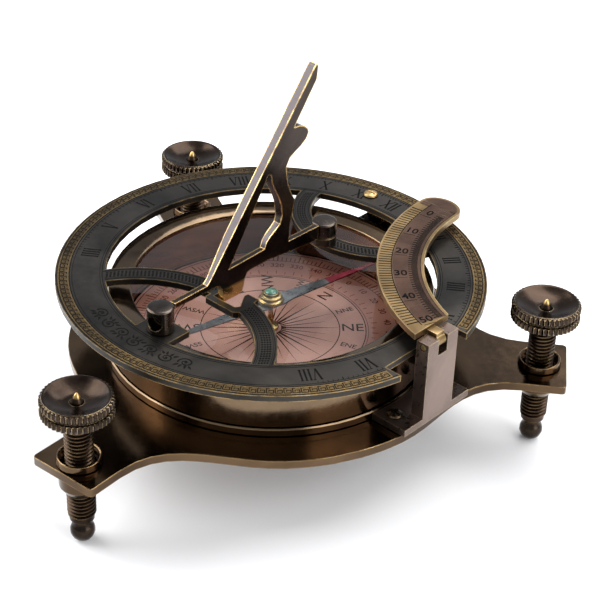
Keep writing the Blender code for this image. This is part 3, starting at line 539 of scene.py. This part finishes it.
def roman(marks, value, radius, angle, height):
    """Roman numeral with thick and thin strokes and small serifs, its foot towards the centre."""
    widths = {"I": 1.25, "V": 2.7, "X": 2.9}
    total = sum(widths[c] for c in value)
    a = radians(angle)
    out = Vector((cos(a), sin(a)))
    along = Vector((sin(a), -cos(a)))
    foot = out * (radius - height / 2)

    def spot(x, y):
        return foot + along * x + out * y

    x = -total / 2
    for letter in value:
        w = widths[letter]
        middle, serif = x + w / 2, 0.42
        if letter == "I":
            marks.stroke(spot(middle, 0), spot(middle, height), 0.52)
            ends = [middle]
        elif letter == "V":
            marks.stroke(spot(x + 0.35, height), spot(middle, 0), 0.58)
            marks.stroke(spot(x + w - 0.35, height), spot(middle, 0), 0.24)
            ends = []
        else:
            marks.stroke(spot(x + 0.35, height), spot(x + w - 0.35, 0), 0.60)
            marks.stroke(spot(x + w - 0.35, height), spot(x + 0.35, 0), 0.24)
            ends = []
        tops = {"I": [middle], "V": [x + 0.35, x + w - 0.35], "X": [x + 0.35, x + w - 0.35]}[letter]
        feet = {"I": ends, "V": [], "X": [x + 0.35, x + w - 0.35]}[letter]
        for spots, level in ((tops, height), (feet, 0.0)):
            for s in spots:
                marks.stroke(spot(s - serif, level), spot(s + serif, level), 0.16)
        x += w


def off_notch(radius, margin=0.6):
    """Test for angles where a circle of this radius is still on the notched ring."""
    if radius < NOTCH_X - 0.3:
        return None
    limit = degrees(asin((NOTCH_HALF + margin) / radius))
    return lambda angle: abs((angle + 180.0) % 360.0 - 180.0) > limit


def hour_angle(hours_from_noon):
    """Angle on the ring from +Y (noon), clockwise for the afternoon, for the gnomon's latitude."""
    turn = radians(15.0 * hours_from_noon)
    return degrees(atan2(sin(radians(STYLE_LATITUDE)) * sin(turn), cos(turn)))


def ring_marks():
    """Hour lines, Roman hours, border ornament and a scrolled cartouche on the hour ring."""
    border = Marks(RING_TOP + FACE_LIFT)
    border.band(BORDER_INNER, BORDER_OUTER, step=1.5, keep=off_notch(62.0))
    border.make("ring_border_band", "hour_ring", "border")

    marks = Marks(RING_TOP + MARK_LIFT)
    for radius, width in RING_LINES:
        marks.band(radius - width / 2, radius + width / 2, step=1.5, keep=off_notch(radius))
    hours = {-6: "VI", -5: "VII", -4: "VIII", -3: "IX", -2: "X", -1: "XI", 0: "XII",
             1: "I", 2: "II", 3: "III", 4: "IIII", 5: "V", 6: "VI", 7: "VII", 8: "VIII",
             -7: "V", -8: "IIII"}
    for hour, numeral in hours.items():
        angle = 90.0 - hour_angle(hour)
        on_ring = off_notch(58.0, 3.0)(angle)
        if on_ring:
            roman(marks, numeral, NUMERAL_R, angle, NUMERAL_HEIGHT)
    for step in range(-8 * 12, 8 * 12 + 1):
        angle = 90.0 - hour_angle(step / 12.0)
        if off_notch(60.5, 0.4)(angle):
            inner = 58.7 if step % 12 == 6 else 59.1
            if step % 12:
                marks.radial(angle, inner, 59.9, 0.16 if step % 6 else 0.3)
    for i in range(FRET_CELLS):
        middle = 360.0 * (i + 0.5) / FRET_CELLS
        if not off_notch(63.5, 1.6)(middle):
            continue
        span = 360.0 / FRET_CELLS
        left, right = middle - span * 0.40, middle + span * 0.40
        marks.band(*FRET_HIGH, left, right, 1.0)
        marks.band(*FRET_LOW, left, middle - span * 0.05, 1.0)
        marks.radial(left, 61.35, 63.6, 0.28)
        marks.radial(right, 62.2, 63.6, 0.28)
        marks.band(*FRET_MIDDLE, middle - span * 0.12, right, 1.0)
        marks.radial(middle - span * 0.12, 62.2, 63.0, 0.22)
    scroll_cartouche(marks, -112.0, -69.0, NUMERAL_R)
    marks.make("ring_engraving", "hour_ring", "ink")


def leaf(marks, base, tip, width):
    """Pointed leaf from base to tip, widest a third of the way along."""
    along = tip - base
    side = Vector((-along.y, along.x)).normalized() * width / 2
    left = [base + along * t + side * w for t, w in ((0.12, 0.6), (0.35, 1.0), (0.7, 0.6))]
    right = [base + along * t - side * w for t, w in ((0.7, 0.6), (0.35, 1.0), (0.12, 0.6))]
    marks.polygon([base, *reversed(right), tip, *reversed(left)])


def scroll_cartouche(marks, start, end, radius):
    """A run of leaf scrolls along the ring between two angles."""
    count = 7
    span = (end - start) / count
    for i in range(count):
        side = 1.0 if i % 2 else -1.0
        curl = radians(start + (i + 0.5) * span)
        out = Vector((cos(curl), sin(curl)))
        along = Vector((-sin(curl), cos(curl)))
        hub = out * (radius + side * 0.35)
        last = None
        turns, steps = 1.55, 30
        for k in range(steps + 1):
            t = k / steps
            a = 2 * pi * turns * t
            reach = 0.28 + 1.75 * t
            point = hub + along * reach * 1.15 * cos(a) + out * side * reach * sin(a)
            if last is not None:
                marks.stroke(last, point, 0.20 + 0.26 * t)
            last = point
        for k in range(8):
            a = 2 * pi * k / 8
            b = 2 * pi * (k + 1) / 8
            marks.polygon([hub, hub + Vector((cos(a), sin(a))) * EYE_R,
                           hub + Vector((cos(b), sin(b))) * EYE_R])
        for lean, reach in ((-1.0, 2.5), (-0.4, 2.9), (0.35, 2.9), (1.0, 2.4)):
            base = hub - out * side * 1.3 + along * lean * 1.5
            tip = hub - out * side * reach + along * lean * 2.9
            leaf(marks, base, tip, 0.75)


def crescent_marks(crescent, name):
    """Border lines and staggered diamonds along one crescent."""
    centre_y, inner, outer = crescent
    marks = Marks(RING_TOP + MARK_LIFT, (0.0, centre_y))
    facing = -90.0 if centre_y > 0 else 90.0

    def inside(radius, angle, margin):
        x = radius * cos(radians(angle))
        y = radius * sin(radians(angle)) + centre_y
        on_pad = centre_y < 0 and PAD_WEST - 0.4 < x < PAD_EAST + 0.4
        return x * x + y * y < (RING_BORE - margin) ** 2 and not on_pad

    borders = ((inner + 0.75, 0.2), (outer - 0.75, 0.2), (inner + 1.25, 0.1), (outer - 1.25, 0.1))
    for radius, width in borders:
        marks.band(radius - width / 2, radius + width / 2, facing - 95, facing + 95, 1.5,
                   keep=lambda angle, r=radius: inside(r, angle, -0.6))
    rows = 4
    pitch = (outer - inner - 3.4) / rows
    for row in range(rows):
        radius = inner + 1.7 + pitch * (row + 0.5)
        step = degrees(1.15 / radius)
        count = int(95 / step)
        for i in range(-count, count + 1):
            angle = facing + (i + 0.5 * (row % 2)) * step
            if not inside(radius, angle, 0.3):
                continue
            a = radians(angle)
            out, along = Vector((cos(a), sin(a))), Vector((-sin(a), cos(a)))
            c = out * radius
            marks.polygon([c - out * pitch * 0.47, c + along * 0.44,
                           c + out * pitch * 0.47, c - along * 0.44])
    marks.make(name, "hour_ring", "ink")


def card_marks():
    """Compass rose with its rays, points and degree circle."""
    brown = Marks(CARD_TOP + 0.03)
    for radius, width in CARD_LINES:
        brown.band(radius - width / 2, radius + width / 2, step=2.5)
    for i in range(32):
        angle = 90.0 + i * 11.25
        a = radians(angle)
        out, side = Vector((cos(a), sin(a))), Vector((-sin(a), cos(a)))
        reach = 21.3 if i % 2 == 0 else 17.5
        half = 0.42 if i % 4 == 0 else 0.26
        brown.polygon([out * 3.4 - side * half, out * reach, out * 3.4 + side * half])
    points = ("N", "NNE", "NE", "ENE", "E", "ESE", "SE", "SSE",
              "S", "SSW", "SW", "WSW", "W", "WNW", "NW", "NNW")
    for i, point in enumerate(points):
        angle = 90.0 - 22.5 * i
        size = 5.6 if i % 2 == 0 else 2.9
        brown.text(point, size, 25.5, angle, angle, 0.02)
    brown.make("card_rose_print", "dial_card", "card_ink")

    red = Marks(CARD_TOP + 0.03)
    for degree in range(0, 360, 2):
        reach = 42.9 if degree % 10 == 0 else 41.6
        red.radial(90.0 - degree, DEGREE_TICK_R, reach, 0.42 if degree % 10 == 0 else 0.30)
    for degree in range(0, 360, 10):
        red.text(str(degree), 3.0, DEGREE_FIGURE_R, 90.0 - degree, -degree, 0.03)
    red.band(39.3, 39.5, step=2.5)
    for degree in range(0, 360, 5):
        red.radial(90.0 - degree, 31.4, 33.4 if degree % 10 == 0 else 32.6, 0.22)
    red.make("card_degree_print", "dial_card", "red_ink")


def arc_marks():
    """Copper face, brass tick band and the latitude scale on the arc."""
    zero, fifty = 187.4, 249.3
    step = (fifty - zero) / 50.0
    face = Marks(ARC_TOP + FACE_LIFT, ARC_CENTRE)
    face.band(ARC_INNER + ARC_LIP, ARC_BAND_R, 182.0, 250.0, 1.2)
    tip_count = 12
    tip = []
    for i in range(tip_count + 1):
        a = pi * i / tip_count
        middle = (ARC_INNER + ARC_LIP + ARC_FACE_R) / 2
        half = (ARC_FACE_R - ARC_INNER - ARC_LIP) / 2
        tip.append((-(middle - half * cos(a)), -2.2 + 5.0 * sin(a)))
    face.polygon(tip)
    face.band(ARC_BAND_R, ARC_FACE_R, 182.0, 184.2, 1.1)
    face.make("arc_copper_inlay", "latitude_arc", "arc_face")

    marks = Marks(ARC_TOP + MARK_LIFT, ARC_CENTRE)
    marks.band(61.5, 61.75, 182.4, 251.0, 1.2)
    marks.band(ARC_INNER + 1.05, ARC_INNER + 1.2, 182.4, 249.0, 1.2)
    for degree in range(0, 51):
        angle = zero + degree * step
        marks.radial(angle, 61.7 if degree % 5 else 61.6, 65.4, 0.30 if degree % 5 else 0.42)
    for half in range(0, 101):
        angle = zero + half * step / 2.0
        marks.radial(angle, 53.8, 55.6 if half % 2 else 56.6, 0.34)
    for degree in range(0, 51, 10):
        angle = zero + degree * step
        marks.text(str(degree), 4.1, 59.0, angle - 0.2, angle - 180.0, 0.07)
        marks.radial(angle + 2.1, 57.2, 61.0, 0.18)
    marks.make("arc_scale", "latitude_arc", "ink")


# --------------------------------------------------------------------------- levelling screws

def knob(name):
    """Knurled knob: two fluted flanges, a groove between them and a dished top."""
    node = name + "_knob"
    bottom, top = low(node).z, high(node).z
    size = (high(node) - low(node)) / 2
    centre = (high(node) + low(node)) / 2
    r = max(size.x, size.y)

    def wave(radius, height, angle):
        fluted = max(0.0, min(1.0, (radius - r + 0.75) / 0.7))
        return radius - FLUTE_DEPTH * fluted * abs(sin(angle * KNOB_TEETH / 2.0)) ** 1.4

    profile = [(2.1, top - 2.25), (2.7, top - 2.3), (4.2, top - 2.1), (6.2, top - 1.45), (7.8, top - 0.75),
               (8.6, top - 0.3), (9.05, top - 0.05), (9.35, top), (9.6, top - 0.08), (9.75, top - 0.35),
               (r - 0.25, top - 0.45), (r, top - 0.7), (r, top - 2.1), (r - 0.3, top - 2.4),
               (9.45, top - 2.5),
               (9.3, top - 2.65), (9.3, bottom + 2.6), (9.45, bottom + 2.45), (r - 0.3, bottom + 2.35),
               (r, bottom + 2.05), (r, bottom + 0.5), (r - 0.35, bottom + 0.15), (r - 1.1, bottom),
               (2.1, bottom)]
    lathe(profile, KNOB_TEETH * 8, centre, node + "_fine", node, "knob", wave)


def stud(name):
    """Threaded stud: a smooth right-hand helix on its core, a collar below and a cone above."""
    node = name + "_stud"
    bottom, top = low(node).z, high(node).z
    centre = (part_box(name + "_ball_foot")[0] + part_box(name + "_ball_foot")[1]) / 2 / MM
    pitch, crest, root, shank = 1.25, 4.15, 3.5, 3.75
    turns, per_turn = 28, 40
    start = bottom + 0.9
    work = bmesh.new()
    rows = []
    total = turns * per_turn
    for i in range(total + 1):
        angle = 2 * pi * i / per_turn
        lift = start + pitch * i / per_turn
        fade = min(1.0, i / (per_turn * 0.8), (total - i) / (per_turn * 0.8))
        peak = root + (crest - root) * max(0.0, fade)
        row = []
        ridge = ((root, 0.0), (root, 0.14), (peak, 0.52), (peak, 0.73), (root, 1.11), (root, pitch))
        for radius, rise in ridge:
            row.append(work.verts.new(((centre.x + radius * cos(angle)) * MM,
                                       (centre.y + radius * sin(angle)) * MM, (lift + rise) * MM)))
        rows.append(row)
    for a, b in zip(rows, rows[1:]):
        for k in range(5):
            work.faces.new((a[k], b[k], b[k + 1], a[k + 1]))
    shoulder = start + pitch * (turns + 1)
    core_rings = [(0.0, bottom), (2.6, bottom), (3.6, bottom + 0.5), (3.6, start + 1.2),
                  (root - 0.02, start + 1.2), (root - 0.02, shoulder - 0.6), (shank, shoulder - 0.6),
                  (shank, top - 7.4), (1.8, top - 7.3),
                  (1.8, top - 2.8), (1.7, top - 2.55), (0.75, top - 0.75), (0.28, top - 0.1), (0.0, top)]
    steps = 40
    circle = []
    for i in range(steps):
        a = 2 * pi * i / steps
        circle.append([work.verts.new(((centre.x + r * cos(a)) * MM, (centre.y + r * sin(a)) * MM, z * MM))
                       for r, z in core_rings])
    for i in range(steps):
        a, b = circle[i], circle[(i + 1) % steps]
        for k in range(len(core_rings) - 1):
            work.faces.new((a[k], b[k], b[k + 1], a[k + 1]))
    bmesh.ops.remove_doubles(work, verts=work.verts, dist=1e-7)
    bmesh.ops.dissolve_degenerate(work, edges=work.edges, dist=1e-7)
    bmesh.ops.recalc_face_normals(work, faces=work.faces)
    mesh = bpy.data.meshes.new(node + "_fine")
    work.to_mesh(mesh)
    work.free()
    mesh.shade_smooth()
    mesh.set_sharp_from_angle(angle=radians(40))
    obj = bpy.data.objects.new(node + "_fine", mesh)
    finish_piece(obj, node, "stud")
    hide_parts(node)


def levelling_screws():
    """Fine knob and stud, rounded bush and foot for each arm."""
    for name in FEET:
        knob(name)
        stud(name)
        rounded(name + "_bush", 0.18, "plate")
        rounded(name + "_ball_foot", 0.12, "dark", sharp=50.0)


# --------------------------------------------------------------------------- build

def build_object():
    """Every visible piece, body by body."""
    rounded("base_plate", 0.35, "plate", 3)
    levelling_screws()
    rounded("drum_base", 0.1, "drum")
    rounded("drum_wall", 0.15, "drum")
    rounded("bezel_ring", 0.18, "drum")
    recolour("cover_glass", "glass")
    recolour("dial_card", "card")
    recolour("pivot_pin", "brass")
    rounded("hinge_block", 0.2, "dark")
    rounded("hinge_pin", 0.1, "brass")
    rounded("arc_bracket", 0.25, "bracket", 3)
    rounded("arc_hinge_pin", 0.1, "brass")
    for screw in ("bracket_screw_front", "bracket_screw_rear", "hinge_screw_west", "hinge_screw_east"):
        rounded(screw, 0.08, "dark" if screw.startswith("bracket") else "brass")
    rounded("hour_ring", 0.16, "ring", 2)
    rounded("south_post", 0.12, "post")
    rounded("north_post", 0.12, "post")
    rounded("hinge_leaf", 0.15, "drum")
    rounded("gnomon", 0.3, "gnomon", 3)
    rounded("latitude_arc", 0.25, "arc_brass", 3)
    rounded("compass_needle", 0.06, "needle")
    rounded("needle_cap", 0.12, "brass")
    rounded("cap_jewel", 0.08, "jewel")
    ring_marks()
    crescent_marks(SOUTH_CRESCENT, "south_crescent_engraving")
    crescent_marks(NORTH_CRESCENT, "north_crescent_engraving")
    card_marks()
    arc_marks()


# --------------------------------------------------------------------------- studio

def floor():
    """Plain pale floor."""
    mesh = bpy.data.meshes.new("studio_floor")
    work = bmesh.new()
    bmesh.ops.create_grid(work, x_segments=1, y_segments=1, size=3.0)
    bmesh.ops.translate(work, vec=(0, 0, (GROUND - 0.05) * MM), verts=work.verts)
    work.to_mesh(mesh)
    work.free()
    obj = bpy.data.objects.new("studio_floor", mesh)
    bpy.context.scene.collection.objects.link(obj)
    mat = bpy.data.materials.new("pale_floor")
    mat.use_nodes = True
    shader = mat.node_tree.nodes["Principled BSDF"]
    shader.inputs["Base Color"].default_value = (0.90, 0.90, 0.90, 1.0)
    shader.inputs["Roughness"].default_value = 0.7
    shader.inputs["Specular IOR Level"].default_value = 0.2
    mesh.materials.append(mat)


def softbox(name, place, size, power, colour=(1.0, 1.0, 1.0)):
    """Rectangular soft light aimed at the middle of the drum."""
    data = bpy.data.lights.new(name, "AREA")
    data.shape = "RECTANGLE"
    data.size, data.size_y = size
    data.energy = power
    data.color = colour
    obj = bpy.data.objects.new(name, data)
    obj.location = place
    obj.rotation_euler = (Vector((0, 0, 0.02)) - Vector(place)).to_track_quat("-Z", "Y").to_euler()
    bpy.context.scene.collection.objects.link(obj)


def studio():
    """Soft key from the left, fill from the right, a top light, and a pale world."""
    world = bpy.data.worlds.new("studio")
    world.use_nodes = True
    background = world.node_tree.nodes["Background"]
    background.inputs["Color"].default_value = (0.93, 0.95, 1.0, 1.0)
    background.inputs["Strength"].default_value = 0.62
    bpy.context.scene.world = world
    softbox("key_light", (-0.62, -0.30, 0.50), (0.75, 0.85), 10.0)
    softbox("fill_light", (0.65, 0.05, 0.35), (0.5, 0.6), 3.5)
    softbox("top_light", (0.05, 0.40, 0.70), (0.8, 0.5), 6.5)
    bpy.context.scene.view_settings.view_transform = "Standard"


def camera():
    """View from the front right, above: the line of sight and its slight roll."""
    place = Vector((302.5, -327.6, 304.5)) * MM
    target = Vector((1.4, 11.8, 11.8)) * MM
    roll = radians(2.15)
    data = bpy.data.cameras.new("view")
    data.sensor_width = 36.0
    data.lens = 104.3
    data.clip_start = 0.01
    obj = bpy.data.objects.new("view", data)
    turn = (target - place).to_track_quat("-Z", "Y").to_matrix() @ Matrix.Rotation(roll, 3, "Z")
    obj.matrix_world = Matrix.Translation(place) @ turn.to_4x4()
    bpy.context.scene.collection.objects.link(obj)
    bpy.context.scene.camera = obj


build_object()
floor()
studio()
camera()
